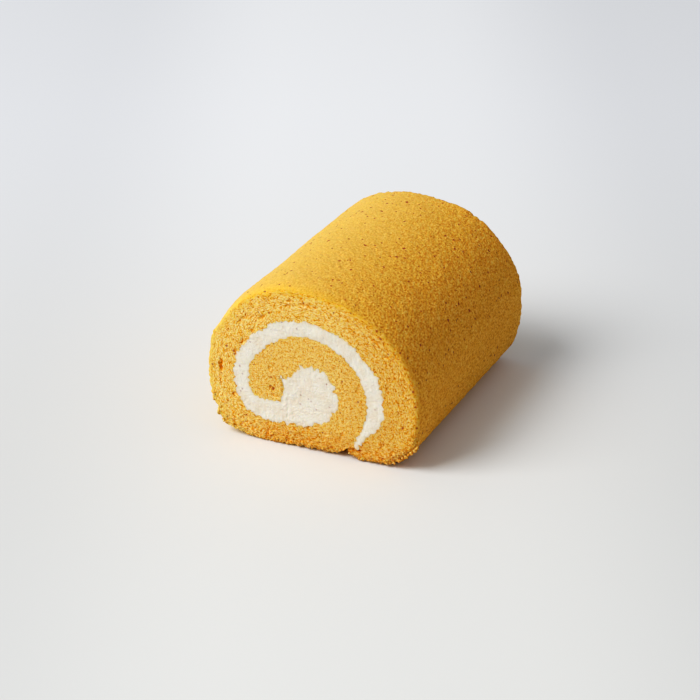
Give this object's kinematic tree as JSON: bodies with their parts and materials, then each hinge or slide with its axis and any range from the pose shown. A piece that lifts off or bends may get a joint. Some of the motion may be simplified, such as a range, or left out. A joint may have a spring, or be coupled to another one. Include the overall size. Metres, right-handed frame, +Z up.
{
  "type": "swiss roll cake",
  "caption": "Swiss roll cake: a golden sponge sheet rolled round a spiral of cream, lying on its seam, cut square at both ends.",
  "frame": {"origin": "on the surface the roll lies on, under the middle of its box", "axes": "+X to the right across the shown cut face, +Y along the roll from the shown cut face to the back, +Z up"},
  "size_m": [0.0855, 0.102, 0.0646],
  "materials": {
    "sponge": "matt golden sponge crumb with open pores, a smooth saturated skin and fine brown specks",
    "cream": "soft satin off-white cream with faint knife marks and tiny brown specks"
  },
  "bodies": {
    "root": {"sponge": "sponge", "cream_filling": "cream"}
  },
  "joints": []
}
